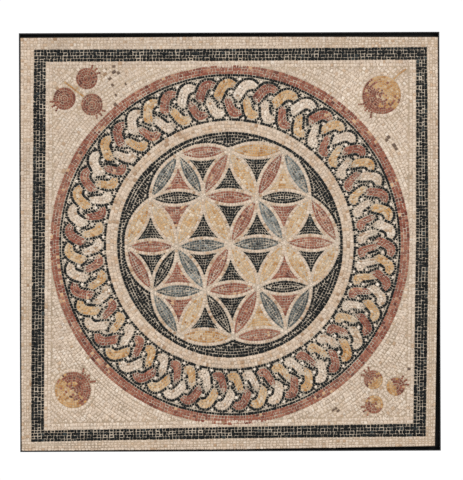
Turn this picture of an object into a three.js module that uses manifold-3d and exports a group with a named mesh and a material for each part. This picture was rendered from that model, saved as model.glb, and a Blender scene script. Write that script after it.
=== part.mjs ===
// A square floor mosaic, lifted and set in a mortar slab inside a welded steel angle frame, to hang on a wall.
// Millimetres, +Z up. The origin is the middle of the back, which lies on the wall, and the picture faces -Y.

import * as THREE from "three";
import { mergeVertices } from "three/addons/utils/BufferGeometryUtils.js";
import Module from "manifold-3d";

const wasm = await Module();
wasm.setup();

// Depths, measured out from the wall
const frameDepth = 40;
const steel = 4;
const tessera = 6;
const gap = 0.3;

// Steel frame, made from 40 x 40 x 4 angle
const frameWidth = 1502;
const frameHeight = 1496;
const flange = 40;

// Outlines of the slab and of the black border, which were cut and laid by hand and aren't quite square.
// Each goes clockwise from the top left, with the middle of each side between its corners: [x, z].
const slabOutline = [
  [-745, 731], [3, 732.5], [746, 729], [743, -14], [730, -731.5], [-2, -741], [-746, -743.5], [-746, -8],
];
const borderOutside = [
  [-697, 689], [3, 690], [707, 694], [710, -13], [697.5, -697.5], [-2, -702], [-712.5, -712], [-706, -9],
];
const borderInside = [
  [-654, 645], [3, 646.5], [667, 648.5], [664.5, -13], [652.5, -650], [-2, -661], [-666, -671], [-660, -9],
];

// Rings round one centre, from the outside in: red, guilloche, pale, and the medallion inside them
const ringCentre = [0.7, -10];
const redRadius = 643;
const guillocheRadius = 611;
const paleRadius = 442;
const medallionRadius = 404;
const ringSides = 64;

// The nodes of the medallion's lattice of circles, row by row from the top: [x, z] of each
const latticeRows = [
  [[-183, 314], [-1, 328], [192, 325]],
  [[-284, 154], [-95, 163], [97, 157], [286, 159]],
  [[-370, -16], [-191, -16], [0, -10], [194, -3], [385, -6]],
  [[-278, -176], [-89, -174], [100, -163], [289, -158]],
  [[-183, -334], [11, -342], [199, -323]],
];
const petalSwell = 0.142; // how far an arc stands off its chord, as a share of the chord
const circleLine = 11; // the pale line that draws each circle, one tessera wide
const petalSteps = 6;

// Petal colours. Along each row from left to right, then down each zigzag between two rows.
const rowPetals = ["RY", "KRK", "RGGR", "GRK", "YR"];
const zigzagPetals = ["GGRYRG", "YYYYRGYR", "RKGRYYYY", "GYKRGG"];

// Pomegranates in the corners: centre, radius, and the way that the crown points, in degrees from +X
const pomegranates = {
  top_left_1: { centre: [-509, 585], radius: 39, crown: 45 },
  top_left_2: { centre: [-589, 514], radius: 40, crown: 214 },
  top_left_3: { centre: [-491, 492], radius: 40, crown: 312 },
  top_right: { centre: [544, 523], radius: 69, crown: 223 },
  bottom_left: { centre: [-562, -527], radius: 65, crown: 42 },
  bottom_right_1: { centre: [511, -494], radius: 34, crown: 135 },
  bottom_right_2: { centre: [591, -519], radius: 33, crown: 32 },
  bottom_right_3: { centre: [513, -582], radius: 33, crown: 215 },
};
const crownReach = 1.24;
const crownNotch = 1.06;
const crownHalfAngle = 22;
const fruitSteps = 14;

const finishes = {
  steel: { color: 0x17181a, roughness: 0.45, metalness: 0.6 },
  mortar: { color: 0xb9a68f, roughness: 0.95, metalness: 0 },
  pale: { color: 0xdcc4a6, roughness: 0.8, metalness: 0 },
  K: { color: 0x1b2124, roughness: 0.7, metalness: 0 },
  G: { color: 0x5f686c, roughness: 0.75, metalness: 0 },
  R: { color: 0x9c5a45, roughness: 0.8, metalness: 0 },
  Y: { color: 0xd5a860, roughness: 0.8, metalness: 0 },
};

const panel = new THREE.Group();

function degrees(angle) {
  return (angle * Math.PI) / 180;
}

// The points as vectors, running counterclockwise, so that a shape and its holes agree
function outline(points) {
  const vectors = points.map(([x, z]) => new THREE.Vector2(x, z));
  return THREE.ShapeUtils.isClockWise(vectors) ? vectors.reverse() : vectors;
}

// Moves each point of an outline away from a middle point, so that two outlines keep the gap between them
function grown(points, distance, middle = [0, 0]) {
  return points.map(([x, z]) => {
    const away = Math.hypot(x - middle[0], z - middle[1]);
    const scale = (away + distance) / away;
    return [middle[0] + (x - middle[0]) * scale, middle[1] + (z - middle[1]) * scale];
  });
}

function rectangle(width, height) {
  return [[-width / 2, height / 2], [width / 2, height / 2], [width / 2, -height / 2], [-width / 2, -height / 2]];
}

function circle(radius) {
  return Array.from({ length: ringSides }, (_, i) => {
    const angle = (2 * Math.PI * i) / ringSides;
    return [ringCentre[0] + radius * Math.cos(angle), ringCentre[1] + radius * Math.sin(angle)];
  });
}

// A flat plate with an outline in X and Z, its back and front at these distances from the wall
function plate(points, holes, back, front) {
  const shape = new THREE.Shape(outline(points));
  shape.holes = holes.map((hole) => new THREE.Path(outline(hole)));
  const geometry = new THREE.ExtrudeGeometry(shape, { depth: front - back, bevelEnabled: false, curveSegments: 1 });
  geometry.rotateX(Math.PI / 2);
  geometry.translate(0, -back, 0);
  return geometry;
}

function toSolid(geometry) {
  const bare = geometry.clone();
  bare.deleteAttribute("normal");
  bare.deleteAttribute("uv");
  const merged = mergeVertices(bare);
  return new wasm.Manifold(new wasm.Mesh({
    numProp: 3,
    vertProperties: new Float32Array(merged.attributes.position.array),
    triVerts: new Uint32Array(merged.index.array),
  }));
}

function joined(first, second) {
  const mesh = toSolid(first).add(toSolid(second)).getMesh();
  const geometry = new THREE.BufferGeometry();
  geometry.setAttribute("position", new THREE.BufferAttribute(mesh.vertProperties, 3));
  geometry.setIndex(new THREE.BufferAttribute(mesh.triVerts, 1));
  geometry.computeVertexNormals();
  return geometry;
}

function add(name, geometry, finish) {
  const mesh = new THREE.Mesh(geometry, new THREE.MeshStandardMaterial(finishes[finish]));
  mesh.name = name;
  panel.add(mesh);
}

// A welded ring of steel angle: one leg is the rim round the edge, the other lies flat against the wall
function addFrame() {
  const outside = rectangle(frameWidth, frameHeight);
  const rimInside = rectangle(frameWidth - 2 * steel, frameHeight - 2 * steel);
  const flangeInside = rectangle(frameWidth - 2 * flange, frameHeight - 2 * flange);
  const rim = plate(outside, [rimInside], 0, frameDepth);
  const leg = plate(outside, [flangeInside], 0, steel);
  add("angle_frame", joined(rim, leg), "steel");
}

// The mortar, cast in the frame: flush with the flange behind, and wider in front of it
function addSlab() {
  const inFlange = rectangle(frameWidth - 2 * (flange + gap), frameHeight - 2 * (flange + gap));
  const bedFront = frameDepth - tessera - gap;
  const back = plate(inFlange, [], 0, bedFront);
  const front = plate(slabOutline, [], steel + gap, bedFront);
  add("mortar_slab", joined(back, front), "mortar");
}

// A field of tesserae laid edge to edge, as one layer on the mortar
function addField(name, points, holes, finish) {
  add(name, plate(points, holes, frameDepth - tessera, frameDepth), finish);
}

function pomegranate({ centre, radius, crown }) {
  const points = [];
  const turn = 360 - 2 * crownHalfAngle;
  for (let i = 0; i <= fruitSteps; i += 1) {
    points.push([radius, crown + crownHalfAngle + (turn * i) / fruitSteps]);
  }
  for (const [reach, share] of [[crownReach, -0.8], [crownNotch, -0.4], [crownReach, 0], [crownNotch, 0.4], [crownReach, 0.8]]) {
    points.push([radius * reach, crown + crownHalfAngle * share]);
  }
  return points.map(([away, angle]) => [
    centre[0] + away * Math.cos(degrees(angle)),
    centre[1] + away * Math.sin(degrees(angle)),
  ]);
}

// The lens between two nodes, drawn by two arcs and taken in by a distance all round
function petal([ax, az], [bx, bz], inset) {
  const chord = Math.hypot(bx - ax, bz - az);
  const swell = petalSwell * chord;
  const radius = (chord * chord) / (8 * swell) + swell / 2;
  const offset = radius - swell;
  const half = Math.acos(offset / (radius - inset));
  const along = [(bx - ax) / chord, (bz - az) / chord];
  const across = [-along[1], along[0]];
  const middle = [(ax + bx) / 2, (az + bz) / 2];
  const points = [];
  for (const side of [1, -1]) {
    for (let i = 0; i < petalSteps; i += 1) {
      const angle = half * (1 - (2 * i) / petalSteps);
      const u = side * (radius - inset) * Math.sin(angle);
      const v = side * ((radius - inset) * Math.cos(angle) - offset);
      points.push([middle[0] + u * along[0] + v * across[0], middle[1] + u * along[1] + v * across[1]]);
    }
  }
  return points;
}

// The two ends of every petal, with its colour: along the rows, then down the zigzags between them
function petalEnds() {
  const ends = [];
  latticeRows.forEach((row, r) => {
    for (let i = 0; i + 1 < row.length; i += 1) {
      ends.push([row[i], row[i + 1], rowPetals[r][i]]);
    }
  });
  for (let r = 0; r + 1 < latticeRows.length; r += 1) {
    const [upper, lower] = [latticeRows[r], latticeRows[r + 1]];
    const [short, long] = upper.length < lower.length ? [upper, lower] : [lower, upper];
    short.forEach((node, i) => {
      ends.push([node, long[i], zigzagPetals[r][2 * i]]);
      ends.push([node, long[i + 1], zigzagPetals[r][2 * i + 1]]);
    });
  }
  return ends;
}

function addMedallion() {
  const ends = petalEnds();
  const holes = ends.map(([from, to]) => petal(from, to, circleLine / 2));
  addField("medallion_ground", circle(medallionRadius - gap / 2), holes, "K");
  ends.forEach(([from, to, colour], i) => {
    const number = String(i + 1).padStart(2, "0");
    addField(`petal_${number}`, petal(from, to, circleLine / 2 + gap), [], colour);
  });
}

function addRing(name, outer, inner, finish) {
  addField(name, circle(outer - gap / 2), [circle(inner + gap / 2)], finish);
}

function addGround() {
  const fruits = Object.entries(pomegranates);
  const fruitHoles = fruits.map(([, fruit]) => grown(pomegranate(fruit), gap, fruit.centre));
  addField("margin_field", slabOutline, [grown(borderOutside, gap)], "pale");
  addField("black_border", borderOutside, [grown(borderInside, gap)], "K");
  addField("corner_ground", borderInside, [circle(redRadius + gap), ...fruitHoles], "pale");
  for (const [place, fruit] of fruits) {
    addField(`pomegranate_${place}`, pomegranate(fruit), [], "R");
  }
}

addFrame();
addSlab();
addGround();
addRing("red_ring", redRadius, guillocheRadius, "R");
addRing("guilloche_ring", guillocheRadius, paleRadius, "G");
addRing("pale_ring", paleRadius, medallionRadius, "pale");
addMedallion();

export default panel;
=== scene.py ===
"""A square of floor mosaic, lifted and reset in mortar inside a frame of steel angle, to hang on a wall.

Every stone of the mosaic is laid on its own. The picture is worked out in millimetres, with X to the right and
Z up from the middle of the panel, and put into the meshes in metres. It faces -Y.
"""

import math

import bpy
import numpy as np
from bpy.props import FloatProperty, FloatVectorProperty, IntProperty, PointerProperty
from bpy.types import Operator, Panel, PropertyGroup
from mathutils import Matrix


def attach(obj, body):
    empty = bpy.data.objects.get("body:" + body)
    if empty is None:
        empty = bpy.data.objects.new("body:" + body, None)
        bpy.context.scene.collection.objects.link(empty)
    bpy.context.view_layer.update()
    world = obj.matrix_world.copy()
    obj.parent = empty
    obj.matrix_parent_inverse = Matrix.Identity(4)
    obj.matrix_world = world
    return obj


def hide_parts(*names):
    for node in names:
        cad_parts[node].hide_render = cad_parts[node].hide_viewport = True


bl_info = {
    "name": "Mosaic Panel",
    "version": (1, 0, 0),
    "blender": (4, 5, 0),
    "location": "View3D > Sidebar > Mosaic",
    "description": "Lays a framed floor mosaic stone by stone",
    "category": "Add Mesh",
}

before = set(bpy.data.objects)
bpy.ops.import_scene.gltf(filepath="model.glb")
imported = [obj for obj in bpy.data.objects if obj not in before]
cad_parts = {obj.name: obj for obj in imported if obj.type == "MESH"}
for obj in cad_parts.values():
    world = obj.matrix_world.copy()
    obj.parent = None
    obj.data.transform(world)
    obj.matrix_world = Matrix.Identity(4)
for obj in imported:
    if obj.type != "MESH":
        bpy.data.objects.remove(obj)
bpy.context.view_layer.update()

MM = 0.001

# Outlines of the slab and of the black border, clockwise from the top left, with the middle of each side: (x, z)
SLAB = [(-745, 731), (3, 732.5), (746, 729), (743, -14), (730, -731.5), (-2, -741), (-746, -743.5), (-746, -8)]
BORDER_OUT = [(-697, 689), (3, 690), (707, 694), (710, -13), (697.5, -697.5), (-2, -702), (-712.5, -712), (-706, -9)]
BORDER_IN = [(-654, 645), (3, 646.5), (667, 648.5), (664.5, -13), (652.5, -650), (-2, -661), (-666, -671), (-660, -9)]

# Rings round one centre, from the outside in
CENTRE = np.array([0.7, -10.0])
RED_OUT = 643.0
RED_IN = 611.0
BRAID_OUT = 592.9
BRAID_IN = 464.3
PALE_OUT = 442.0
PALE_IN = 404.0

# The nodes of the medallion's lattice of circles, row by row from the top: (x, z)
LATTICE = [
    [(-183, 314), (-1, 328), (192, 325)],
    [(-284, 154), (-95, 163), (97, 157), (286, 159)],
    [(-370, -16), (-191, -16), (0, -10), (194, -3), (385, -6)],
    [(-278, -176), (-89, -174), (100, -163), (289, -158)],
    [(-183, -334), (11, -342), (199, -323)],
]
PETAL_SWELL = 0.142  # how far a petal's arc stands off its chord, as a share of the chord

# Colours: R red, Y ochre, G grey, K black, C cream. Along each row of nodes, then down each zigzag between rows.
ROW_PETALS = ["RY", "KRK", "RGGR", "GRK", "YR"]
ZIGZAG_PETALS = ["GGRYRG", "YYYYRGYR", "RKGRYYYY", "GYKRGG"]
# The triangles between two rows of nodes, from left to right
TRIANGLES = ["RKKKY", "KRKKKRK", "KRKKKRK", "RKKYR"]

# Pomegranates: centre, radius, the way the crown points in degrees from +X, and where ochre stones gather
POMEGRANATES = {
    "top_left_1": ((-509, 585), 39, 45, None),
    "top_left_2": ((-589, 514), 40, 214, None),
    "top_left_3": ((-491, 492), 40, 312, None),
    "top_right": ((544, 523), 69, 223, 40),
    "bottom_left": ((-562, -527), 65, 42, 225),
    "bottom_right_1": ((511, -494), 34, 135, 315),
    "bottom_right_2": ((591, -519), 33, 32, 200),
    "bottom_right_3": ((513, -582), 33, 215, 45),
}
TWIGS = [
    [(-589, 574), (-520, 521)],
    [(-549, 546), (-541, 554)],
    [(587, 579), (606, 598), (632, 615)],
]

# The braid. Its strands show as bent lobes, LOBES of them along the outer edge and as many along the inner one.
# They were laid by eye: each table says how far lobes 0, 5, 10 and so on stand from even spacing, in degrees.
LOBES = 55
OUTER_DRIFT = [-2.5, 2.4, -0.9, -1.4, -4.6, -7.4, -8.7, -9.8, -9.6, -7.4, -5.6]
INNER_DRIFT = [1.6, 5.7, 3.8, 0.5, -1.6, -5.1, -5.3, -6.2, -6.3, -4.2, -2.6]
OUTER_COLOURS = "YCR" * 5 + "Y" + "RCY" * 12 + "RC" + "R"
INNER_COLOURS = "RYC" * 4 + "R" + "C" + "RCY" * 13 + "RC"
PANEL_TURN = 0.2
# A lobe's two long edges, from its tail to its hooked end: (share of the spacing, radius in millimetres)
OUTER_BACK = [(-0.237, 510.7), (-0.539, 535.7), (-0.368, 557.1), (-0.171, 578.6), (0.026, 589.3), (0.224, 592.9),
              (0.447, 590.0), (0.645, 578.6)]
OUTER_CROOK = [(-0.237, 510.7), (-0.105, 521.4), (0.0, 535.7), (0.132, 553.6), (0.25, 561.4), (0.487, 562.5)]
INNER_BACK = [(-0.329, 532.1), (-0.539, 517.9), (-0.461, 496.4), (-0.368, 475.0), (-0.197, 458.9), (0.066, 455.4),
              (0.329, 458.9), (0.5, 467.9)]
INNER_CROOK = [(-0.329, 532.1), (-0.197, 525.0), (-0.066, 507.1), (0.066, 487.5), (0.368, 482.1)]
OUTER_EYE = (0.395, 546.4)
INNER_EYE = (0.289, 496.4)
OUTER_DOT = (-0.224, 592.9)
INNER_DOT = (-0.421, 453.6)

# Darker patches: x, z, how far each reaches, and how dark it is. A negative one is paler than the rest.
# The small ones are stains. The first one and the last four are broad and make the top left and the top and left edges
# darker.
DARKER_PATCHES = [
    (-560, 560, 330, 0.75), (-610, 700, 55, 0.9), (-400, 712, 90, 0.35), (690, 690, 60, 0.5), (-725, 300, 70, 0.5),
    (-725, -200, 60, 0.4), (-470, -560, 160, -0.25), (720, -400, 80, 0.35), (330, 712, 60, 0.35), (60, 716, 45, 0.4),
    # These four darken the top edge and the left edge, so those sides end up darker than the bottom and the right
    (-200, 740, 200, 0.6), (250, 740, 220, 0.5), (-740, 150, 240, 0.4), (-740, -350, 220, 0.4),
]

# Dark stones in the pale ground: x, z, how far each group reaches, and the share of its stones that are dark
MARKS = [
    (-418, 601, 30, 0.12), (-408, 560, 40, 0.16), (-397, 508, 30, 0.1), (530, 391, 9, 0.7), (566, 364, 9, 0.7),
    (595, 337, 9, 0.6), (377, -598, 12, 0.6), (638, -456, 8, 0.6),
]

# Depths, from the wall to the front
FRONT = 40.0
BED = 33.7
JOINT_LEVEL = 38.9


def linear(code):
    """An sRGB hex colour as linear RGBA: each channel is divided by 12.92 or raised to the power 2.4."""
    code = code.lstrip("#")
    channels = [int(code[i:i + 2], 16) / 255 for i in (0, 2, 4)]
    return tuple(c / 12.92 if c <= 0.04045 else ((c + 0.055) / 1.055) ** 2.4 for c in channels) + (1.0,)


class MosaicSizes(PropertyGroup):
    """Sizes that a mosaic maker would choose."""

    pitch: FloatProperty(
        name="Stone pitch", description="Width of a stone and its joint in the borders and rings",
        default=0.0118, unit="LENGTH")
    fine_pitch: FloatProperty(
        name="Fine pitch", description="Width of a stone and its joint in the medallion",
        default=0.0092, unit="LENGTH")
    joint: FloatProperty(
        name="Joint", description="Width of the mortar between two stones", default=0.0012, unit="LENGTH")
    worn_edge: FloatProperty(
        name="Worn edge", description="How far each stone's upper edge is worn back", default=0.0006, unit="LENGTH")
    rock: FloatProperty(
        name="Rock", description="How far out of level a stone is set", default=math.radians(1.6), unit="ROTATION")
    seed: IntProperty(name="Seed", description="Start of every random draw", default=7)


class MosaicColours(PropertyGroup):
    """Colours of the plain finishes."""

    mortar: FloatVectorProperty(
        name="Mortar", description="Joint mortar", subtype="COLOR", size=4, default=linear("#b2a492"))
    paint: FloatVectorProperty(
        name="Frame paint", description="Paint on the steel angle", subtype="COLOR", size=4,
        default=linear("#08090a"))
    floor: FloatVectorProperty(
        name="Floor", description="Studio floor", subtype="COLOR", size=4, default=linear("#e6e4e0"))


# Lines and rows of stones


def along(line, shares):
    """The points at these shares of a line's length, found by linear interpolation over its running length."""
    line = np.asarray(line, float)
    run = np.concatenate(([0.0], np.cumsum(np.hypot(*np.diff(line, axis=0).T))))
    return np.column_stack([np.interp(shares, run / run[-1], line[:, k]) for k in (0, 1)])


def span(line):
    """A line's length."""
    return float(np.hypot(*np.diff(np.asarray(line, float), axis=0).T).sum())


def sideways(line, distance):
    """The line moved to its left by a distance: each point goes along the normal of the line's own direction."""
    line = np.asarray(line, float)
    way = np.gradient(line, axis=0)
    way /= np.maximum(np.hypot(way[:, 0], way[:, 1]), 1e-9)[:, None]
    return line + np.column_stack([-way[:, 1], way[:, 0]]) * distance


def wander(line, amount, rng, step=70.0, closed=False):
    """The line with the waver of hand laying: random offsets about every step, joined by a smooth curve."""
    line = np.asarray(line, float)
    knots = max(int(span(line) / step), 2)
    values = rng.normal(0, amount, knots + 1)
    if closed:
        values[-1] = values[0]
    place = np.linspace(0, knots, len(line))
    cell = np.minimum(place.astype(int), knots - 1)
    ease = (1 - np.cos(np.pi * (place - cell))) / 2
    offset = values[cell] * (1 - ease) + values[cell + 1] * ease
    way = np.gradient(line, axis=0)
    if closed:
        way[0] = way[-1] = way[0] + way[-1]
    way /= np.maximum(np.hypot(way[:, 0], way[:, 1]), 1e-9)[:, None]
    return line + np.column_stack([-way[:, 1], way[:, 0]]) * offset[:, None]


def course(near, far, pitch, rng, closed=False):
    """One row of stones between two edges, as four corners each: both edges are cut at the same uneven shares."""
    count = max(int(round((span(near) + span(far)) / 2 / pitch)), 1)
    cuts = np.arange(count + 1.0)
    cuts[1:-1] += rng.uniform(-0.25, 0.25, count - 1)
    cuts /= count
    if closed:
        cuts = (cuts + rng.uniform(0, 1)) % 1.0
    a = along(near, cuts)
    b = along(far, cuts)
    return np.stack([a[:-1], a[1:], b[1:], b[:-1]], axis=1)


def circle(radius, centre=CENTRE, steps=360):
    """A closed circle: the centre plus the radius times the sine and cosine of an angle clockwise from the top."""
    turn = np.linspace(0, 2 * np.pi, steps + 1)
    return np.column_stack([centre[0] + radius * np.sin(turn), centre[1] + radius * np.cos(turn)])


def ring_courses(outer, inner, rows, pitch, rng, waver=0.9, centre=CENTRE):
    """Closed rows of stones between two circles."""
    radii = np.linspace(outer, inner, rows + 1)
    lines = [circle(r, centre) for r in radii]
    lines = [wander(line, waver, rng, closed=True) for line in lines]
    return [course(a, b, pitch, rng, closed=True) for a, b in zip(lines, lines[1:])]


def strip_courses(edge_a, edge_b, rows, pitch, rng, waver=1.0):
    """Rows of stones between two lines: the lines between are their weighted means."""
    shares = np.linspace(0, 1, 61)
    a = along(edge_a, shares)
    b = along(edge_b, shares)
    lines = []
    for k in range(rows + 1):
        line = a + (b - a) * (k / rows)
        inside = 0 < k < rows
        lines.append(wander(line, waver if inside else waver * 0.4, rng))
    return [course(p, q, pitch, rng) for p, q in zip(lines, lines[1:])]


def frame_courses(outside, inside, rows, pitch, rng):
    """Rows along the four sides between two outlines. Those at the top and bottom run on to the outer corners."""
    out = np.array(outside, float)
    inn = np.array(inside, float)
    left = out[[0, 7, 6]]
    right = out[[2, 3, 4]]

    def across(side, z):
        order = np.argsort(side[:, 1])
        return (np.interp(z, side[order, 1], side[order, 0]), z)

    sides = [
        (out[:3], [across(left, inn[0, 1]), inn[1], across(right, inn[2, 1])]),
        (out[[6, 5, 4]], [across(left, inn[6, 1]), inn[5], across(right, inn[4, 1])]),
        ([across(left, inn[0, 1]), out[7], across(left, inn[6, 1])], inn[[0, 7, 6]]),
        ([across(right, inn[2, 1]), out[3], across(right, inn[4, 1])], inn[[2, 3, 4]]),
    ]
    return [row for a, b in sides for row in strip_courses(a, b, rows, pitch, rng)]


def areas(quads):
    """Signed areas, from the cross product of the diagonals."""
    d1 = quads[:, 2] - quads[:, 0]
    d2 = quads[:, 3] - quads[:, 1]
    return (d1[:, 0] * d2[:, 1] - d1[:, 1] * d2[:, 0]) / 2


def square_stones(points, size, turn):
    """Four corners round each point, at half the diagonal of a square, turned by an angle."""
    points = np.asarray(points, float)
    size = np.broadcast_to(size, len(points))
    turn = np.broadcast_to(turn, len(points))
    angles = turn[:, None] + np.pi / 4 + np.arange(4) * np.pi / 2
    corners = np.stack([np.cos(angles), np.sin(angles)], axis=2)
    return points[:, None, :] + corners * (size * math.sqrt(0.5))[:, None, None]


def strips(points, others, reach=16.0, count=300):
    """The points in strips along X, as index arrays, each with the others that are near enough to touch it."""
    order = np.argsort(points[:, 0])
    other_order = np.argsort(others[:, 0])
    across = others[other_order, 0]
    for first in range(0, len(order), count):
        part = order[first:first + count]
        x = points[part, 0]
        low, high = np.searchsorted(across, [x.min() - reach, x.max() + reach])
        near = other_order[low:high]
        if len(near):
            yield part, near, np.hypot(*(points[part, None, :] - others[None, near]).transpose(2, 0, 1))


class Tray:
    """Stones laid in order. One that would sit on an earlier stone is left out, or cut smaller to fit beside it."""

    def __init__(self):
        self.quads = np.zeros((0, 4, 2))
        self.half = np.zeros(0)
        self.batch = np.zeros(0, int)
        self.kind = np.zeros(0, int)
        self.tone = np.zeros(0)
        self.next_batch = 0

    def lay(self, quads, kind, tone, clear=0.66):
        """Adds the stones whose middles are clear of the earlier ones by this share of a stone."""
        quads = np.asarray(quads, float)
        if not len(quads):
            return
        signed = areas(quads)
        quads = np.where((signed < 0)[:, None, None], quads[:, ::-1], quads)
        kind = np.broadcast_to(kind, len(quads))
        tone = np.broadcast_to(tone, len(quads))
        size = np.sqrt(np.abs(signed))
        keep = size > 3.2
        half = size / 2
        for part, near, gap in strips(quads.mean(axis=1), self.quads.mean(axis=1)):
            share = gap / (half[part, None] + self.half[None, near])
            keep[part] &= share.min(axis=1) > clear
        self.half = np.concatenate([self.half, half[keep]])
        self.quads = np.concatenate([self.quads, quads[keep]])
        self.kind = np.concatenate([self.kind, kind[keep]])
        self.tone = np.concatenate([self.tone, tone[keep]])
        self.batch = np.concatenate([self.batch, np.full(int(keep.sum()), self.next_batch)])
        self.next_batch += 1

    def fitted(self):
        """The stones' corners. One that crowds an earlier stone is scaled about its middle to the room it has."""
        middle = self.quads.mean(axis=1)
        scale = np.ones(len(middle))
        for part, near, gap in strips(middle, middle):
            room = (gap - self.half[None, near]) / self.half[part, None] * 1.12
            room[self.batch[part, None] <= self.batch[None, near]] = 1.0
            scale[part] = np.clip(room.min(axis=1), 0.45, 1.0)
        return middle[:, None, :] + (self.quads - middle[:, None, :]) * scale[:, None, None]


# Meshes


def put_mesh(name, points, faces, counts, tone=None, shade=None):
    """A mesh object from whole arrays: points in metres, the faces' corners in one list, and corners to a face."""
    mesh = bpy.data.meshes.new(name)
    mesh.vertices.add(len(points))
    mesh.vertices.foreach_set("co", np.asarray(points, np.float32).ravel())
    mesh.loops.add(len(faces))
    mesh.loops.foreach_set("vertex_index", np.asarray(faces, np.int32))
    mesh.polygons.add(len(counts))
    starts = np.concatenate(([0], np.cumsum(counts)[:-1])).astype(np.int32)
    mesh.polygons.foreach_set("loop_start", starts)
    mesh.polygons.foreach_set("loop_total", np.asarray(counts, np.int32))
    mesh.update(calc_edges=True)
    for label, values in (("tone", tone), ("shade", shade)):
        if values is not None:
            mesh.attributes.new(label, "FLOAT", "FACE").data.foreach_set("value", values.astype(np.float32))
    mesh.validate()
    obj = bpy.data.objects.new(name, mesh)
    bpy.context.scene.collection.objects.link(obj)
    return obj


def cut_patterns():
    """The ways to knock off two of a square's four corners: six points, as (u, v), and the way that each moves."""
    square = np.array([(0, 0), (1, 0), (1, 1), (0, 1)], float)
    starts, ways = [], []
    for first in range(4):
        for second in range(first + 1, 4):
            points, moves = [], []
            for corner in range(4):
                if corner in (first, second):
                    points += [square[corner]] * 2
                    moves += [square[corner - 1] - square[corner], square[(corner + 1) % 4] - square[corner]]
                else:
                    points.append(square[corner])
                    moves.append(np.zeros(2))
            starts.append(points)
            ways.append(moves)
    return np.array(starts), np.array(ways)


def stones(name, quads, tone, stain_and_darkening, joint, rng, sizes):
    """Cut stones on these corners, each a block of three rings of six points: its foot, its worn rim and its top.

    The rim is the four corners, moved in by half the joint and a small random step, with two of them knocked off.
    The top lies on a plane with a random height and slope, and the rim lies just under it and outside it, so
    every upper edge is rounded by wear.
    """
    worn = sizes.worn_edge / MM
    length_u = np.hypot(*(quads[:, 1] + quads[:, 2] - quads[:, 0] - quads[:, 3]).T) / 2
    length_v = np.hypot(*(quads[:, 2] + quads[:, 3] - quads[:, 0] - quads[:, 1]).T) / 2
    fit = length_u * length_v > 8
    quads, tone, stain_and_darkening, length_u, length_v = (item[fit] for item in (quads, tone, stain_and_darkening, length_u, length_v))
    count = len(quads)
    in_u = np.minimum(joint / 2 / length_u, 0.3)[:, None]
    in_v = np.minimum(joint / 2 / length_v, 0.3)[:, None]
    starts, ways = cut_patterns()
    pick = rng.integers(0, len(starts), count)
    place = starts[pick] + ways[pick] * rng.uniform(0.06, 0.3, (count, 6, 1))
    u = (in_u + place[..., 0] * (1 - 2 * in_u))[..., None]
    v = (in_v + place[..., 1] * (1 - 2 * in_v))[..., None]
    p0, p1, p2, p3 = (quads[:, k][:, None, :] for k in range(4))
    rim = (1 - u) * (1 - v) * p0 + u * (1 - v) * p1 + u * v * p2 + (1 - u) * v * p3
    size = np.sqrt(length_u * length_v)[:, None, None] - joint
    rim = rim + rng.normal(0, 0.035, rim.shape) * size
    middle = rim.mean(axis=1, keepdims=True)
    rim = middle + (rim - middle) * rng.uniform(0.93, 1.08, (count, 1, 1))
    top = middle + (rim - middle) * (1 - 2 * worn / size)
    foot = middle + (rim - middle) * 0.94
    height = FRONT - 0.35 + rng.uniform(-0.3, 0.3, (count, 1))
    slope = rng.normal(0, math.tan(sizes.rock), (count, 1, 2))
    plane = (slope * (top - middle)).sum(axis=2)
    levels = [np.full((count, 6), BED + 0.3), height + plane - worn, height + plane]
    rings = np.stack([foot, rim, top], axis=1)
    points = np.empty((count, 3, 6, 3))
    points[..., 0] = rings[..., 0]
    points[..., 1] = -np.stack(levels, axis=1)
    points[..., 2] = rings[..., 1]
    faces = [[5, 4, 3, 2, 1, 0], [12, 13, 14, 15, 16, 17]]
    for k in range(6):
        n = (k + 1) % 6
        faces += [[k, n, 6 + n, 6 + k], [6 + k, 6 + n, 12 + n, 12 + k]]
    flat = np.concatenate(faces)
    corners = (flat[None] + (np.arange(count) * 18)[:, None]).ravel()
    shade = rng.uniform(0, 1, count) - stain_and_darkening
    per_stone = len(faces)
    return put_mesh(name, points.reshape(-1, 3) * MM, corners, np.tile([len(face) for face in faces], count),
                    np.repeat(tone, per_stone), np.repeat(shade, per_stone))


def grid_faces(rows, columns):
    """Corners of the quads of a grid of points, row after row."""
    start = (np.arange(rows - 1)[:, None] * columns + np.arange(columns - 1)[None]).ravel()
    return np.column_stack([start, start + 1, start + columns + 1, start + columns])


# Materials


def add_node(tree, kind, inputs=None, **settings):
    """Adds a node with its settings. An input's value is a number or colour, or the output that feeds it."""
    node = tree.nodes.new(kind)
    for name, value in settings.items():
        setattr(node, name, value)
    for name, value in (inputs or {}).items():
        if isinstance(value, bpy.types.NodeSocket):
            tree.links.new(value, node.inputs[name])
        else:
            node.inputs[name].default_value = value
    return node


def new_material(name):
    """An empty node material and its output node."""
    material = bpy.data.materials.new(name)
    material.use_nodes = True
    tree = material.node_tree
    tree.nodes.clear()
    return material, tree, add_node(tree, "ShaderNodeOutputMaterial")


def set_ramp(node, stops):
    """Gives a colour ramp its stops, as (place, hex colour)."""
    ramp = node.color_ramp
    while len(ramp.elements) > 1:
        ramp.elements.remove(ramp.elements[-1])
    ramp.elements[0].position = stops[0][0]
    ramp.elements[0].color = linear(stops[0][1])
    for place, code in stops[1:]:
        ramp.elements.new(place).color = linear(code)


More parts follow.
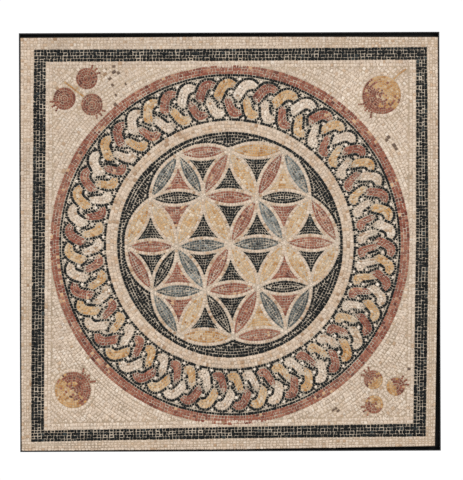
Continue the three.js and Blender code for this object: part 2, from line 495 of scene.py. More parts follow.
def worn_stone(name, stops, roughness, patina, patina_amount=0.25, gloss=0.4, veins=0.0, specks=0.0):
    """A stone finish. The tone of each stone picks its colour, its shade lightens or darkens it a little, and
    noise at grain size and at hand size gives mottling and the stain of use."""
    material, tree, output = new_material(name)
    where = add_node(tree, "ShaderNodeTexCoord").outputs["Object"]
    tone = add_node(tree, "ShaderNodeAttribute", attribute_name="tone", attribute_type="GEOMETRY")
    shade = add_node(tree, "ShaderNodeAttribute", attribute_name="shade", attribute_type="GEOMETRY")
    ramp = add_node(tree, "ShaderNodeValToRGB", {"Fac": tone.outputs["Fac"]})
    set_ramp(ramp, stops)
    # Crystal and shell grains of about 2 mm
    grain = add_node(tree, "ShaderNodeTexNoise", {"Vector": where, "Scale": 420.0, "Detail": 3.0, "Roughness": 0.6})
    # Damp and dirt of a hand's width
    stain_and_darkening = add_node(tree, "ShaderNodeTexNoise", {"Vector": where, "Scale": 9.0, "Detail": 5.0, "Roughness": 0.62})
    light = add_node(tree, "ShaderNodeMath", {0: shade.outputs["Fac"], 1: 0.15, 2: 0.86}, operation="MULTIPLY_ADD")
    speck = add_node(tree, "ShaderNodeMapRange", {"Value": grain.outputs["Fac"], "From Min": 0.3, "From Max": 0.7,
                                                  "To Min": 0.84, "To Max": 1.12})
    gain = add_node(tree, "ShaderNodeMath", {0: light.outputs[0], 1: speck.outputs[0]}, operation="MULTIPLY")
    stone = add_node(tree, "ShaderNodeVectorMath", {0: ramp.outputs["Color"], 3: gain.outputs[0]}, operation="SCALE")
    worn = add_node(tree, "ShaderNodeMapRange", {"Value": stain_and_darkening.outputs["Fac"], "From Min": 0.45, "From Max": 0.75,
                                                 "To Min": 0.0, "To Max": patina_amount})
    colour = add_node(tree, "ShaderNodeMix", {0: worn.outputs[0], 6: stone.outputs[0], 7: linear(patina)},
                      data_type="RGBA")
    if specks:
        # Pits of 1 to 2 mm, drawn at 4 mm to show, which hold dirt
        pits = add_node(tree, "ShaderNodeTexNoise", {"Vector": where, "Scale": 240.0, "Detail": 1.0})
        pit = add_node(tree, "ShaderNodeMapRange", {"Value": pits.outputs["Fac"], "From Min": 0.56, "From Max": 0.72,
                                                    "To Min": 0.0, "To Max": specks})
        colour = add_node(tree, "ShaderNodeMix", {0: pit.outputs[0], 6: colour.outputs[2],
                                                  7: linear("#6b5442")}, data_type="RGBA")
    if veins:
        bands = add_node(tree, "ShaderNodeTexNoise", {"Vector": where, "Scale": 130.0, "Detail": 2.0,
                                                      "Distortion": 1.5})
        vein = add_node(tree, "ShaderNodeMapRange", {"Value": bands.outputs["Fac"], "From Min": 0.55,
                                                     "From Max": 0.68, "To Min": 0.0, "To Max": veins})
        colour = add_node(tree, "ShaderNodeMix", {0: vein.outputs[0], 6: colour.outputs[2],
                                                  7: linear("#b9b6ae")}, data_type="RGBA")
    dull = add_node(tree, "ShaderNodeMapRange", {"Value": grain.outputs["Fac"], "From Min": 0.3, "From Max": 0.7,
                                                 "To Min": roughness - 0.1, "To Max": roughness + 0.08})
    bump = add_node(tree, "ShaderNodeBump", {"Height": grain.outputs["Fac"], "Strength": 0.35, "Distance": 0.0006})
    shader = add_node(tree, "ShaderNodeBsdfPrincipled", {"Base Color": colour.outputs[2], "Roughness": dull.outputs[0],
                                                         "IOR": 1.5, "Specular IOR Level": gloss,
                                                         "Normal": bump.outputs[0]})
    tree.links.new(shader.outputs[0], output.inputs["Surface"])
    return material


def stone_finishes():
    """The five stones, each split with a hammer and worn underfoot."""
    return {
        # Cream limestone: pinkish to yellowish white, pitted, with a few tan stones among the rest
        "C": worn_stone("Cream limestone, split and worn", [
            (0.0, "#5d493c"), (0.018, "#9d7c5e"), (0.05, "#ab8b6c"), (0.15, "#bfa387"), (0.3, "#cab5a0"), (0.7, "#d6c5b3"),
            (1.0, "#e2d5c6")], 0.72, "#a89180", specks=0.75),
        # Black limestone: blue-black, greyer where it is scratched
        "K": worn_stone("Black limestone, split and worn", [
            (0.0, "#040506"), (0.5, "#0a0e0f"), (0.85, "#141a1c"), (1.0, "#333a3a")], 0.55, "#3a3733",
            patina_amount=0.1, gloss=0.15),
        # Blue-grey marble, with pale veins and dark stones
        "G": worn_stone("Blue-grey marble, split and worn", [
            (0.0, "#12171a"), (0.25, "#2c3334"), (0.6, "#525857"), (1.0, "#8a8e8b")], 0.6, "#7d7466",
            patina_amount=0.12, gloss=0.3, veins=0.15),
        # Brick-red limestone: from liver red to pink, with some tan stones
        "R": worn_stone("Brick-red limestone, split and worn", [
            (0.0, "#54241a"), (0.3, "#773a2a"), (0.6, "#8c503b"), (0.85, "#9f6852"), (0.95, "#b08468"),
            (1.0, "#c29b75")], 0.7, "#a0816c", gloss=0.35, specks=0.3),
        # Yellow ochre limestone: from deep yellow to straw
        "Y": worn_stone("Yellow ochre limestone, split and worn", [
            (0.0, "#95602a"), (0.25, "#b5864e"), (0.55, "#bf9d73"), (0.8, "#c9b091"), (1.0, "#d4c2ab")], 0.7,
            "#ab9070", gloss=0.35, specks=0.35),
    }


def lime_mortar(name, colour, soiled):
    """Lime and cement mortar, struck flush: pale and sandy, with grit of about 1 mm drawn at 3 mm to show. The
    tone of each point takes it from its own colour to a soiled one."""
    material, tree, output = new_material(name)
    where = add_node(tree, "ShaderNodeTexCoord").outputs["Object"]
    dirt = add_node(tree, "ShaderNodeAttribute", attribute_name="tone", attribute_type="GEOMETRY")
    base = add_node(tree, "ShaderNodeMix", {0: dirt.outputs["Fac"], 6: colour, 7: linear(soiled)}, data_type="RGBA")
    sand = add_node(tree, "ShaderNodeTexNoise", {"Vector": where, "Scale": 330.0, "Detail": 4.0, "Roughness": 0.7})
    # Drying patches, a hand or two across
    damp = add_node(tree, "ShaderNodeTexNoise", {"Vector": where, "Scale": 5.0, "Detail": 5.0, "Roughness": 0.65})
    patch = add_node(tree, "ShaderNodeMapRange", {"Value": damp.outputs["Fac"], "From Min": 0.35, "From Max": 0.65,
                                                  "To Min": 0.72, "To Max": 1.02})
    grit = add_node(tree, "ShaderNodeMapRange", {"Value": sand.outputs["Fac"], "From Min": 0.3, "From Max": 0.7,
                                                 "To Min": 0.84, "To Max": 1.2})
    gain = add_node(tree, "ShaderNodeMath", {0: patch.outputs[0], 1: grit.outputs[0]}, operation="MULTIPLY")
    mixed = add_node(tree, "ShaderNodeVectorMath", {0: base.outputs[2], 3: gain.outputs[0]}, operation="SCALE")
    bump = add_node(tree, "ShaderNodeBump", {"Height": sand.outputs["Fac"], "Strength": 0.5, "Distance": 0.001})
    shader = add_node(tree, "ShaderNodeBsdfPrincipled", {"Base Color": mixed.outputs[0], "Roughness": 0.93,
                                                         "Normal": bump.outputs[0]})
    tree.links.new(shader.outputs[0], output.inputs["Surface"])
    return material


def painted_steel(colour):
    """Black alkyd paint brushed on hot-rolled steel: a soft sheen over slight waves, with dust in the low places."""
    material, tree, output = new_material("Black paint on hot-rolled steel, brushed")
    where = add_node(tree, "ShaderNodeTexCoord").outputs["Object"]
    waves = add_node(tree, "ShaderNodeTexNoise", {"Vector": where, "Scale": 60.0, "Detail": 4.0, "Roughness": 0.55})
    dust = add_node(tree, "ShaderNodeMapRange", {"Value": waves.outputs["Fac"], "From Min": 0.55, "From Max": 0.8,
                                                 "To Min": 0.0, "To Max": 0.35})
    tint = add_node(tree, "ShaderNodeMix", {0: dust.outputs[0], 6: colour, 7: linear("#4b463f")}, data_type="RGBA")
    dull = add_node(tree, "ShaderNodeMapRange", {"Value": waves.outputs["Fac"], "From Min": 0.3, "From Max": 0.7,
                                                 "To Min": 0.38, "To Max": 0.58})
    bump = add_node(tree, "ShaderNodeBump", {"Height": waves.outputs["Fac"], "Strength": 0.2, "Distance": 0.0008})
    shader = add_node(tree, "ShaderNodeBsdfPrincipled", {"Base Color": tint.outputs[2], "Roughness": dull.outputs[0],
                                                         "IOR": 1.5, "Specular IOR Level": 0.3,
                                                         "Normal": bump.outputs[0]})
    tree.links.new(shader.outputs[0], output.inputs["Surface"])
    return material


KINDS = "CKGRY"
WORDS = {"C": "cream", "K": "black", "G": "grey", "R": "red", "Y": "ochre"}
# The joint beside each kind of stone, as a share of the usual one
JOINTS = {"C": 0.8, "K": 0.6, "G": 0.65, "R": 0.7, "Y": 0.7}


def finish_of(key):
    """The material for a stone's letter, made once."""
    if not FINISHES:
        FINISHES.update(stone_finishes())
    return FINISHES[key]


FINISHES = {}


def darkening_at(points):
    """How much darker each point is: the sum of the stains and of the broad darkening of the top left and the top and
    left edges, each fading out as a bell curve.
    """
    total = np.zeros(len(points))
    for x, z, reach, amount in DARKER_PATCHES:
        total += amount * np.exp(-((points[:, 0] - x) ** 2 + (points[:, 1] - z) ** 2) / reach ** 2)
    return total


def set_down(name, tray, nodes, rng, sizes):
    """Makes one piece of each colour from a tray of stones. nodes gives the CAD fields that each colour replaces,
    and "all" those that every colour of the tray stands for."""
    quads = tray.fitted()
    for number, key in enumerate(KINDS):
        chosen = tray.kind == number
        if not chosen.any():
            continue
        tone = tray.tone[chosen]
        if key == "C":
            for x, z, reach, share in MARKS:
                near = np.hypot(*(quads[chosen].mean(axis=1) - (x, z)).T) < reach
                tone = np.where(near & (rng.uniform(0, 1, len(tone)) < share), 0.0, tone)
        joint = sizes.joint / MM * JOINTS[key]
        # Stains and the broad darkening of the top left and the top and left edges, taken off each stone's shade
        stain_and_darkening = darkening_at(quads[chosen].mean(axis=1))
        piece = stones(f"{name}_{WORDS[key]}", quads[chosen], tone, stain_and_darkening, joint, rng, sizes)
        piece.data.materials.append(finish_of(key))
        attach(piece, "root")
        replaced = list(nodes.get("all", [])) + list(nodes.get(key, []))
        if replaced:
            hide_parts(*replaced)


def tones(rng, count, middle=0.5, spread=0.15):
    """Random tones about a middle one, held between 0.02 and 1."""
    return np.clip(rng.normal(middle, spread, count), 0.02, 1.0)


class MOSAIC_OT_frame(Operator):
    """Gives the steel angle frame its black paint and the cast slab its mortar."""

    bl_idname = "mosaic.frame"
    bl_label = "Steel Frame"

    def execute(self, context):
        colours = context.scene.mosaic_colours
        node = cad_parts["angle_frame"]
        node.data.materials.clear()
        node.data.materials.append(painted_steel(colours.paint))
        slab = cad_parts["mortar_slab"]
        slab.data.materials.clear()
        slab.data.materials.append(lime_mortar("Cement mortar, cast", linear("#8f8474"), "#8f8474"))
        return {"FINISHED"}


class MOSAIC_OT_joints(Operator):
    """Spreads the joint mortar that the stones are set in."""

    bl_idname = "mosaic.joints"
    bl_label = "Joint Mortar"

    def execute(self, context):
        """A grid over the slab, whose four quarters are bilinear in their corners. Its level is a sum of sines."""
        out = np.array(SLAB, float)
        corners = np.array([[out[6], out[5], out[4]], [out[7], [0, -11], out[3]], [out[0], out[1], out[2]]])
        count = 101
        t = np.linspace(0, 2, count)
        cell = np.minimum(t.astype(int), 1)
        part = t - cell
        row = corners[cell] * (1 - part)[:, None, None] + corners[cell + 1] * part[:, None, None]
        plan = row[:, cell] * (1 - part)[None, :, None] + row[:, cell + 1] * part[None, :, None]
        rng = np.random.default_rng(context.scene.mosaic_sizes.seed)
        level = np.full((count, count), JOINT_LEVEL)
        for _ in range(9):
            kx, kz, lag = rng.uniform(-0.12, 0.12), rng.uniform(-0.12, 0.12), rng.uniform(0, 6.28)
            level += 0.07 * np.sin(kx * plan[..., 0] + kz * plan[..., 1] + lag)
        front = np.stack([plan[..., 0], -level, plan[..., 1]], axis=2).reshape(-1, 3)
        back = front.copy()
        back[:, 1] = -(BED + 0.15)
        faces = grid_faces(count, count)
        ring = np.concatenate([np.arange(count), np.arange(2, count + 1) * count - 1,
                               np.arange(count * count - 2, count * (count - 1) - 1, -1),
                               np.arange(count - 2, -1, -1) * count])
        ring = ring[:-1] if ring[-1] == ring[0] else ring
        after = np.roll(ring, -1)
        total = count * count
        sides = np.column_stack([ring + total, after + total, after, ring])
        every = np.concatenate([faces, faces[:, ::-1] + total, sides])
        flat = plan.reshape(-1, 2)
        soiled = np.where(np.hypot(*(flat - CENTRE).T) > RED_OUT, 1.0, 0.0)
        room = inside_border(flat)
        soiled[(room < 0) & (room > -44)] = 0.0
        reach = np.hypot(*(flat - CENTRE).T)
        soiled[(reach < PALE_OUT) & (reach > PALE_IN)] = 0.6
        corners = np.stack([soiled[face] for face in faces.T]).mean(axis=0)
        dirt = np.concatenate([corners, corners, np.ones(len(sides))])
        piece = put_mesh("joint_mortar", np.concatenate([front, back]) * MM, every.ravel(), np.full(len(every), 4),
                         dirt)
        piece.data.materials.append(
            lime_mortar("Lime mortar, struck flush", context.scene.mosaic_colours.mortar, "#a9957e"))
        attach(piece, "root")
        return {"FINISHED"}


class MOSAIC_OT_borders(Operator):
    """Lays the cream margin and the black border, four rows each."""

    bl_idname = "mosaic.borders"
    bl_label = "Borders"

    def execute(self, context):
        sizes = context.scene.mosaic_sizes
        rng = np.random.default_rng(sizes.seed + 1)
        pitch = sizes.pitch / MM
        margin = Tray()
        for row in frame_courses(SLAB, BORDER_OUT, 4, pitch, rng):
            margin.lay(row, 0, tones(rng, len(row), 0.42, 0.14))
        set_down("margin_stones", margin, {"all": ["margin_field"]}, rng, sizes)
        border = Tray()
        for row in frame_courses(BORDER_OUT, BORDER_IN, 4, pitch, rng):
            border.lay(row, 1, tones(rng, len(row), 0.45, 0.25))
        set_down("border_stones", border, {"all": ["black_border"]}, rng, sizes)
        return {"FINISHED"}


def inside_border(points):
    """How far each point is inside the border, taken as the least distance to its four sides."""
    inn = np.array(BORDER_IN, float)
    x, z = points[:, 0], points[:, 1]
    left = x - np.interp(z, inn[[6, 7, 0], 1], inn[[6, 7, 0], 0])
    right = np.interp(z, inn[[4, 3, 2], 1], inn[[4, 3, 2], 0]) - x
    low = z - np.interp(x, inn[[6, 5, 4], 0], inn[[6, 5, 4], 1])
    high = np.interp(x, inn[[0, 1, 2], 0], inn[[0, 1, 2], 1]) - z
    return np.minimum(np.minimum(left, right), np.minimum(low, high))


def inset_outline(outline, distance):
    """The outline's eight points, each moved towards the middle by a distance along both axes that it lies on."""
    moved = []
    for k, (x, z) in enumerate(outline):
        dx = distance if k in (6, 7, 0) else -distance if k in (2, 3, 4) else 0
        dz = -distance if k in (0, 1, 2) else distance if k in (4, 5, 6) else 0
        moved.append((x + dx, z + dz))
    return moved


class MOSAIC_OT_corners(Operator):
    """Lays the fruits and twigs, and the cream ground round them."""

    bl_idname = "mosaic.corners"
    bl_label = "Corners"

    def execute(self, context):
        sizes = context.scene.mosaic_sizes
        rng = np.random.default_rng(sizes.seed + 2)
        pitch = sizes.pitch / MM
        fine = 8.4
        tray = Tray()
        for centre, radius, crown, ochre in POMEGRANATES.values():
            centre = np.array(centre, float)
            rows = max(int(round((radius - 4) / fine)), 1)
            rings = ring_courses(radius, 4.0, rows, fine, rng, 0.5, centre)
            rings.append(square_stones([centre], 8.0, 0.3))
            half = 0.24 * radius + 4
            counts = (int(round(2 * half / fine)), 3, 2)[:3 if radius > 50 else 2]
            for step, number in enumerate(counts):
                turn = np.radians(crown) + np.linspace(-1, 1, number) * half * (1 + 0.1 * step) / radius
                tips = centre + (radius + fine * (0.45 + 0.9 * step)) * np.column_stack([np.cos(turn), np.sin(turn)])
                rings.append(square_stones(tips, fine * 0.9, turn))
            for row in rings:
                middle = row.mean(axis=1) - centre
                kind = np.full(len(row), 3)
                if ochre is not None:
                    way = np.array([math.cos(math.radians(ochre)), math.sin(math.radians(ochre))])
                    lean = middle @ way / radius + rng.normal(0, 0.25, len(row))
                    kind[lean > 0.05] = 4
                tray.lay(row, kind, tones(rng, len(row), 0.35, 0.2))
        for twig in TWIGS:
            row = course(sideways(twig, 3.4), sideways(twig, -3.4), 7.5, rng)
            tray.lay(row, 4, tones(rng, len(row), 0.2, 0.15))
        for k in range(2):
            outline = inset_outline(BORDER_IN, k * pitch)
            for row in frame_courses(outline, inset_outline(BORDER_IN, (k + 1) * pitch), 1, pitch, rng):
                tray.lay(row, 0, tones(rng, len(row)))
        for centre, radius, _, _ in POMEGRANATES.values():
            for row in ring_courses(radius + pitch, radius, 1, pitch, rng, 0.8, np.array(centre, float)):
                tray.lay(row, 0, tones(rng, len(row)))
        radii = np.arange(RED_OUT, 960, pitch)
        for r in radii:
            row = ring_courses(r + pitch, r, 1, pitch, rng, 1.2)[0]
            room = inside_border(row.mean(axis=1))
            row = row[room > 2.4 * pitch]
            tray.lay(row, 0, tones(rng, len(row)))
        self.add_fill(tray, rng, pitch)
        fruits = [f"pomegranate_{place}" for place in POMEGRANATES]
        set_down("corner_stones", tray, {"C": ["corner_ground"], "R": fruits}, rng, sizes)
        return {"FINISHED"}

    def add_fill(self, tray, rng, pitch):
        """Small stones where a gap is left: a jittered grid is tried in four turns, so no turn crowds itself."""
        steps = np.arange(-640, 641, pitch * 0.6)
        x, z = np.meshgrid(steps, steps)
        points = np.column_stack([x.ravel(), z.ravel()]) + rng.uniform(-2, 2, (x.size, 2))
        reach = np.hypot(*(points - CENTRE).T)
        points = points[(reach > RED_OUT + 4) & (inside_border(points) > 6)]
        for share in (0.8, 0.55):
            for turn in range(4):
                some = points[turn::4]
                quads = square_stones(some, pitch * share, rng.uniform(0, 1.5, len(some)))
                tray.lay(quads, 0, tones(rng, len(some)), clear=0.76)


class MOSAIC_OT_rings(Operator):
    """Lays the red ring, the braid and the pale ring."""

    bl_idname = "mosaic.rings"
    bl_label = "Rings and Braid"

    def execute(self, context):
        sizes = context.scene.mosaic_sizes
        rng = np.random.default_rng(sizes.seed + 3)
        pitch = sizes.pitch / MM
        red = Tray()
        for row in ring_courses(RED_OUT, RED_IN, 3, pitch * 0.95, rng):
            red.lay(row, 3, tones(rng, len(row), 0.5, 0.25))
        set_down("red_ring_stones", red, {"all": ["red_ring"]}, rng, sizes)
        pale = Tray()
        for row in ring_courses(PALE_OUT, PALE_IN, 3, pitch, rng):
            pale.lay(row, 0, tones(rng, len(row), 0.3, 0.13))
        set_down("pale_ring_stones", pale, {"all": ["pale_ring"]}, rng, sizes)
        set_down("braid_stones", self.braid(rng, pitch), {"all": ["guilloche_ring"]}, rng, sizes)
        return {"FINISHED"}

    def braid(self, rng, pitch):
        """Each lobe is three rows between its back and its crook, and one black row runs round it."""
        tray = Tray()
        line = pitch * 0.86
        outlines = []
        for back, crook, eye, dot, drift, colours, left in (
            (OUTER_BACK, OUTER_CROOK, OUTER_EYE, OUTER_DOT, OUTER_DRIFT, OUTER_COLOURS, 1),
            (INNER_BACK, INNER_CROOK, INNER_EYE, INNER_DOT, INNER_DRIFT, INNER_COLOURS, -1),
        ):
            angles = lobe_angles(drift)
            gaps = (np.roll(angles, -1) - np.roll(angles, 1)) % 360 / 2
            gaps = (np.roll(gaps, 1) + gaps + np.roll(gaps, -1)) / 3
            shares = np.linspace(0, 1, 25)
            for angle, gap, key in zip(angles, gaps, colours):
                a = along(bend(back, angle, gap), shares)
                b = along(bend(crook, angle, gap), shares)
                lines = [a + (b - a) * k / 3 for k in range(4)]
                middle = {"R": 0.45, "Y": 0.5, "C": 0.5}[key] + rng.normal(0, 0.06)
                for p, q in zip(lines, lines[1:]):
                    row = course(p, q, line, rng)
                    tray.lay(row, KINDS.index(key), tones(rng, len(row), middle, 0.22), clear=0.5)
                outlines += [(a, left), (b, -left)]
                marks = bend([eye, dot], angle, gap)
                facing = np.arctan2(*(marks - CENTRE).T[::-1])
                tray.lay(square_stones(marks, [10.0, 9.0], facing), 0, tones(rng, 2, 0.75, 0.2), clear=0.6)
        for edge in (RED_IN, PALE_OUT):
            step = -pitch * 0.78 if edge == RED_IN else pitch * 0.85
            row = ring_courses(edge, edge + step, 1, line, rng, 0.5)[0]
            tray.lay(row, 1, tones(rng, len(row)))
        for edge, side in outlines:
            row = course(edge, sideways(edge, side * line), line * 0.95, rng)
            tray.lay(row, 1, tones(rng, len(row)), clear=0.6)
        turn = np.linspace(0, 2 * np.pi, 420, endpoint=False)
        for share in (0.85, 0.62, 0.48):
            for r in np.arange(BRAID_IN - 6, RED_IN - pitch, pitch * 0.22):
                points = CENTRE + r * np.column_stack([np.sin(turn + r), np.cos(turn + r)])
                tray.lay(square_stones(points, line * share, turn), 1, tones(rng, len(points)), clear=0.66)
        return tray


def lobe_angles(drift):
    """Angles of the lobes, clockwise from the top: even spacing plus a drift read from the table between stations."""
    number = np.arange(LOBES)
    stations = np.arange(0, LOBES + 1, 5)
    return number * 360 / LOBES + np.interp(number, stations, drift + drift[:1]) + PANEL_TURN


def bend(points, angle, gap):
    """Points given as (share of the spacing, radius) put on the ring at an angle."""
    points = np.array(points, float)
    turn = np.radians(angle + points[:, 0] * gap)
    return CENTRE + points[:, 1:] * np.column_stack([np.sin(turn), np.cos(turn)])


def lens(a, b):
    """The centres and the radius of the two arcs that bound the petal between two nodes."""
    a, b = np.array(a, float), np.array(b, float)
    chord = np.hypot(*(b - a))
    swell = PETAL_SWELL * chord
    radius = chord ** 2 / (8 * swell) + swell / 2
    across = np.array([-(b - a)[1], (b - a)[0]]) / chord
    middle = (a + b) / 2
    return middle - across * (radius - swell), middle + across * (radius - swell), radius


def depth_in_lens(points, petal):
    """How deep each point is inside a petal: the least of its depths inside the two circles."""
    first, second, radius = petal
    return radius - np.maximum(np.hypot(*(points - first).T), np.hypot(*(points - second).T))


def lens_arc(a, b, side, inset, trim=True, steps=40):
    """The petal's arc on one side, from near node a to near node b, moved in by inset. It ends where it meets the
    petal's axis, or untrimmed at the nodes."""
    first, second, radius = lens(a, b)
    centre = first if side > 0 else second
    a, b = np.array(a, float), np.array(b, float)
    middle = (a + b) / 2
    away = np.hypot(*(middle - centre))
    out = (middle - centre) / away
    axis = (b - a) / np.hypot(*(b - a))
    half = math.acos(min(away / (radius - inset), 1.0)) if trim else math.acos(away / radius)
    turn = np.linspace(-half, half, steps)
    return centre + (radius - inset) * (np.cos(turn)[:, None] * out + np.sin(turn)[:, None] * axis)


def side_of(points, a, b):
    """The cross product that tells which side of the line from a to b each point is on."""
    return (b - a)[0] * (points[..., 1] - a[1]) - (b - a)[1] * (points[..., 0] - a[0])


def free_part(arc, petals, margin):
    """The points of an arc that are outside all of these petals by more than a margin."""
    depth = np.max([depth_in_lens(arc, petal) for petal in petals], axis=0)
    return arc[depth < -margin]


def towards_axis(a, b, side, arc, distance):
    """The arc moved straight towards the petal's axis by a distance, but never past it."""
    first, second, _ = lens(a, b)
    centre = first if side > 0 else second
    middle = (np.array(a, float) + np.array(b, float)) / 2
    out = (middle - centre) / np.hypot(*(middle - centre))
    height = (arc - middle) @ out
    return arc - np.minimum(height, distance)[:, None] * out


class MOSAIC_OT_medallion(Operator):
    """Lays the interlaced circles, the petals and triangles between them, and the black ground."""

    bl_idname = "mosaic.medallion"
    bl_label = "Medallion"

    def execute(self, context):
        sizes = context.scene.mosaic_sizes
        rng = np.random.default_rng(sizes.seed + 4)
        fine = sizes.fine_pitch / MM
        pitch = sizes.pitch / MM
        ends, colours = petal_ends()
        petals = [lens(a, b) for a, b in ends]
        line = 10.6
        tray = Tray()
        nodes = np.array([node for row in LATTICE for node in row], float)
        tray.lay(square_stones(nodes, 10.5, rng.uniform(0, 1.5, len(nodes))), 0, tones(rng, len(nodes), 0.6, 0.1))
        for a, b in ends:
            for side in (1, -1):
                row = course(lens_arc(a, b, side, line / 2, False), lens_arc(a, b, side, -line / 2, False),
                             line * 0.95, rng)
                tray.lay(row, 0, tones(rng, len(row), 0.32, 0.14), clear=0.62)
        row = ring_courses(PALE_IN, PALE_IN - pitch * 0.95, 1, pitch, rng, 0.6)[0]
        tray.lay(row, 1, tones(rng, len(row)))
        names = {key: [] for key in KINDS}
        for number, ((a, b), key) in enumerate(zip(ends, colours)):
            names[key].append(f"petal_{number + 1:02d}")
            middle = 0.5 + rng.normal(0, 0.08)
            if key == "Y":
                middle = 0.3 if number in (1, 12) else 0.62
            width = fine * 0.92
            for side in (1, -1):
                for k in range(2):
                    edge = lens_arc(a, b, side, line / 2 + width * k)
                    row = course(edge, towards_axis(a, b, side, edge, width), fine, rng)
                    tray.lay(row, KINDS.index(key), tones(rng, len(row), middle, 0.22), clear=0.68)
            inner = [lens_arc(a, b, side, line / 2 + width * 2) for side in (1, -1)]
            row = course(inner[0], inner[1], fine, rng)
            tray.lay(row, KINDS.index(key), tones(rng, len(row), middle, 0.22), clear=0.6)
        self.triangles(tray, rng, fine, line)
        self.ground(tray, ends, petals, rng, pitch, line)
        self.fill(tray, petals, colours, rng, fine)
        nodes_of = {key: names[key] for key in names}
        nodes_of["K"] = nodes_of["K"] + ["medallion_ground"]
        set_down("medallion_stones", tray, nodes_of, rng, sizes)
        return {"FINISHED"}

    def triangles(self, tray, rng, fine, line):
        """Rows that follow the petal below. Each is cut off where it meets the lines of the other two petals."""
        for (a, b, tip), key in triangle_corners():
            middle = (a + b) / 2
            up = np.array([-(b - a)[1], (b - a)[0]]) / np.hypot(*(b - a))
            side = 1 if (tip - middle) @ up > 0 else -1
            up = up * side
            others = [lens(a, tip), lens(b, tip)]
            centre = (a + b + tip) / 3
            width = fine * 0.97
            lines = []
            for k in range(20):
                arc = lens_arc(a, b, side, -line / 2 - k * width, False, 401)
                arc = arc[side_of(arc, a, tip) * side_of(centre, a, tip) > 0]
                arc = arc[side_of(arc, tip, b) * side_of(centre, tip, b) > 0] if len(arc) else arc
                lines.append(free_part(arc, others, line / 2) if len(arc) else arc)
            for near, far in zip(lines, lines[1:]):
                if len(near) < 3 or span(near) < 7.0:
                    break
                if len(far) < 3:
                    far = near.mean(axis=0) + up * width + np.outer([-1, 1], [up[1], -up[0]]) * 1.3 * side
                row = course(near, far, fine, rng)
                tray.lay(row, KINDS.index(key), tones(rng, len(row), 0.5, 0.24), clear=0.5)

    def ground(self, tray, ends, petals, rng, pitch, line):
        """A row along each outer petal, then rows round the ring's centre, kept outside the petals and lattice."""
        width = pitch * 0.84
        for a, b in ends:
            for side in (1, -1):
                near = lens_arc(a, b, side, -line / 2, False, 201)
                if outside_lattice(near[100:101])[0]:
                    near = free_part(near, petals, line / 2 - 0.05)
                    far = free_part(lens_arc(a, b, side, -line / 2 - width, False, 201), petals, line / 2)
                    row = course(near, far, width, rng)
                    tray.lay(row, 1, tones(rng, len(row)), clear=0.7)
        for r in np.arange(PALE_IN - pitch * 0.95, 300, -pitch * 0.86):
            row = ring_courses(r, r - pitch * 0.86, 1, pitch * 0.86, rng, 0.6)[0]
            middle = row.mean(axis=1)
            depth = np.max([depth_in_lens(middle, petal) for petal in petals], axis=0)
            row = row[(depth < -line / 2 - 3.0) & outside_lattice(middle)]
            tray.lay(row, 1, tones(rng, len(row)), clear=0.74)

    def fill(self, tray, petals, colours, rng, fine):
        """Small stones in the gaps, tried in four turns. Each takes the colour of the area that it lies in."""
        steps = np.arange(-400, 401, fine * 0.5)
        x, z = np.meshgrid(steps, steps)
        points = CENTRE + np.column_stack([x.ravel(), z.ravel()]) + rng.uniform(-1.5, 1.5, (x.size, 2))
        points = points[np.hypot(*(points - CENTRE).T) < PALE_IN - 6]
        depths = np.array([depth_in_lens(points, petal) for petal in petals])
        deepest = depths.argmax(axis=0)
        kind = np.array([KINDS.index(key) for key in colours])[deepest]
        kind[np.abs(depths.max(axis=0)) < 6.0] = 0
        outer = depths.max(axis=0) < -6.0
        kind[outer] = triangle_kind(points[outer])
        for share, clear in ((0.8, 0.8), (0.58, 0.74)):
            for turn in range(4):
                some = slice(turn, None, 4)
                count = len(points[some])
                quads = square_stones(points[some], fine * share, rng.uniform(0, 1.5, count))
                tray.lay(quads, kind[some], tones(rng, count), clear=clear)


def petal_ends():
    """The two nodes of every petal and its colour: along the rows, then down the zigzags between them."""
    ends, colours = [], []
    for row, keys in zip(LATTICE, ROW_PETALS):
        for i, key in enumerate(keys):
            ends.append((row[i], row[i + 1]))
            colours.append(key)
    for upper, lower, keys in zip(LATTICE, LATTICE[1:], ZIGZAG_PETALS):
        short, long = (upper, lower) if len(upper) < len(lower) else (lower, upper)
        for i, node in enumerate(short):
            for step in (0, 1):
                ends.append((node, long[i + step]))
                colours.append(keys[2 * i + step])
    return ends, colours


def triangle_corners():
    """The three nodes and the colour of every triangle, from left to right between each two rows of nodes."""
    found = []
    for upper, lower, keys in zip(LATTICE, LATTICE[1:], TRIANGLES):
        corners = []
        for i in range(len(lower) - 1):
            if len(upper) < len(lower):
                corners.append([lower[i], lower[i + 1], upper[i]])
            else:
                corners.append([lower[i], lower[i + 1], upper[i + 1]])
        for i in range(len(upper) - 1):
            if len(upper) < len(lower):
                corners.append([upper[i], upper[i + 1], lower[i + 1]])
            else:
                corners.append([upper[i], upper[i + 1], lower[i]])
        corners = sorted(([np.array(c, float) for c in three] for three in corners),
                         key=lambda three: np.mean(three, axis=0)[0])
        found += list(zip(corners, keys))
    return found


def triangle_kind(points):
    """The colour number of the triangle nearest each point, or black outside the lattice."""
    triangles = triangle_corners()
    centres = np.array([np.mean(corners, axis=0) for corners, _ in triangles])
    numbers = np.array([KINDS.index(key) for _, key in triangles])
    nearest = np.hypot(*(points[:, None, :] - centres[None]).transpose(2, 0, 1)).argmin(axis=1)
    return np.where(outside_lattice(points), 1, numbers[nearest])


def outside_lattice(points):
    """Whether each point is outside the polygon through the lattice's outer nodes, which is convex enough."""
    top, second, third, fourth, last = LATTICE
    loop = np.array(top + [second[-1], third[-1], fourth[-1]] + last[::-1] + [fourth[0], third[0], second[0]], float)
    out = np.zeros(len(points), bool)
    for a, b in zip(loop, np.roll(loop, -1, axis=0)):
        out |= side_of(points, a, b) > 0
    return out


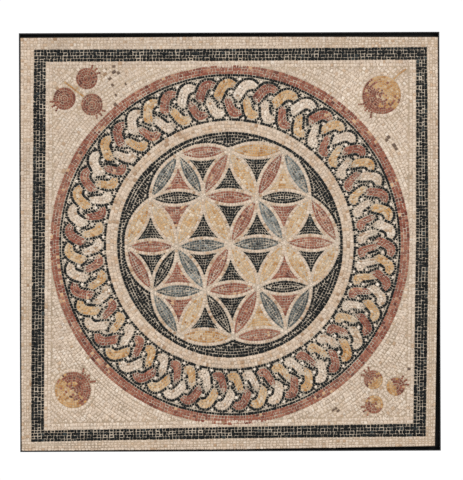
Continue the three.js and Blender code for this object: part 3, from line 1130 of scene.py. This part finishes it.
class MOSAIC_OT_stage(Operator):
    """Sets the studio floor, the soft lights and the camera of the photograph."""

    bl_idname = "mosaic.stage"
    bl_label = "Studio"

    def execute(self, context):
        scene = context.scene
        scene.view_settings.view_transform = "Standard"
        half = 2.6
        drop = -1.25
        points = [(-half, -half, drop), (half, -half, drop), (half, half, drop), (-half, half, drop)]
        floor = put_mesh("studio_floor", points, [0, 1, 2, 3], [4])
        material, tree, output = new_material("Studio floor, painted board")
        shader = add_node(tree, "ShaderNodeBsdfPrincipled", {"Base Color": scene.mosaic_colours.floor,
                                                             "Roughness": 0.8})
        tree.links.new(shader.outputs[0], output.inputs["Surface"])
        floor.data.materials.append(material)
        self.light_studio(scene)
        self.set_camera(scene)
        return {"FINISHED"}

    def light_studio(self, scene):
        """An even white surround, brighter where it is seen behind the panel, and two soft boxes."""
        world = bpy.data.worlds.new("Studio surround")
        world.use_nodes = True
        tree = world.node_tree
        tree.nodes.clear()
        seen = add_node(tree, "ShaderNodeLightPath").outputs["Is Camera Ray"]
        strength = add_node(tree, "ShaderNodeMix", {0: seen, 2: 0.4, 3: 1.05})
        surround = add_node(tree, "ShaderNodeBackground", {"Color": (1, 1, 1, 1), "Strength": strength.outputs[0]})
        output = add_node(tree, "ShaderNodeOutputWorld")
        tree.links.new(surround.outputs[0], output.inputs["Surface"])
        scene.world = world
        for name, place, power, size in (
            ("soft_box_left", (-3.2, -4.2, 2.6), 235.0, 2.4),
            ("soft_box_right", (3.4, -4.6, 1.8), 165.0, 2.4),
        ):
            lamp = bpy.data.lights.new(name, "AREA")
            lamp.energy = power
            lamp.size = size
            obj = bpy.data.objects.new(name, lamp)
            obj.location = place
            way = -np.array(place)
            flat = math.hypot(way[0], way[1])
            obj.rotation_euler = (math.pi / 2 + math.atan2(way[2], flat), 0, math.atan2(way[1], way[0]) - math.pi / 2)
            scene.collection.objects.link(obj)

    def set_camera(self, scene):
        """Square on to the front plane, from far off, so that the picture's 480 pixels take in 1714 mm."""
        distance = 9.0
        across = 480 * 3.5714 * MM
        camera = bpy.data.cameras.new("photograph")
        camera.sensor_width = 36.0
        camera.lens = 36.0 * distance / across
        camera.clip_end = 60.0
        obj = bpy.data.objects.new("photograph", camera)
        obj.location = (0.00607, -0.04 - distance, 0.0068)
        obj.rotation_euler = (math.pi / 2, 0, 0)
        obj.rotation_mode = "XYZ"
        obj.rotation_euler[1] = math.radians(0.2)
        scene.collection.objects.link(obj)
        scene.camera = obj


OPERATORS = (MOSAIC_OT_frame, MOSAIC_OT_joints, MOSAIC_OT_borders, MOSAIC_OT_corners, MOSAIC_OT_rings,
             MOSAIC_OT_medallion, MOSAIC_OT_stage)


class MOSAIC_PT_panel(Panel):
    """Lists the parts of the mosaic in the sidebar."""

    bl_idname = "MOSAIC_PT_panel"
    bl_label = "Mosaic Panel"
    bl_space_type = "VIEW_3D"
    bl_region_type = "UI"
    bl_category = "Mosaic"

    def draw(self, context):
        for settings in (context.scene.mosaic_sizes, context.scene.mosaic_colours):
            for name in settings.__annotations__:
                self.layout.prop(settings, name)
        for operator in OPERATORS:
            self.layout.operator(operator.bl_idname)


CLASSES = (MosaicSizes, MosaicColours) + OPERATORS + (MOSAIC_PT_panel,)


def register():
    """Registers the classes and hangs the settings on the scene."""
    for item in CLASSES:
        bpy.utils.register_class(item)
    bpy.types.Scene.mosaic_sizes = PointerProperty(type=MosaicSizes)
    bpy.types.Scene.mosaic_colours = PointerProperty(type=MosaicColours)


def unregister():
    """Takes the settings and classes away again."""
    del bpy.types.Scene.mosaic_colours
    del bpy.types.Scene.mosaic_sizes
    for item in reversed(CLASSES):
        bpy.utils.unregister_class(item)


def main():
    """Lays the whole panel."""
    register()
    bpy.ops.mosaic.frame()
    bpy.ops.mosaic.joints()
    bpy.ops.mosaic.borders()
    bpy.ops.mosaic.corners()
    bpy.ops.mosaic.rings()
    bpy.ops.mosaic.medallion()
    bpy.ops.mosaic.stage()


if __name__ == "__main__":
    main()
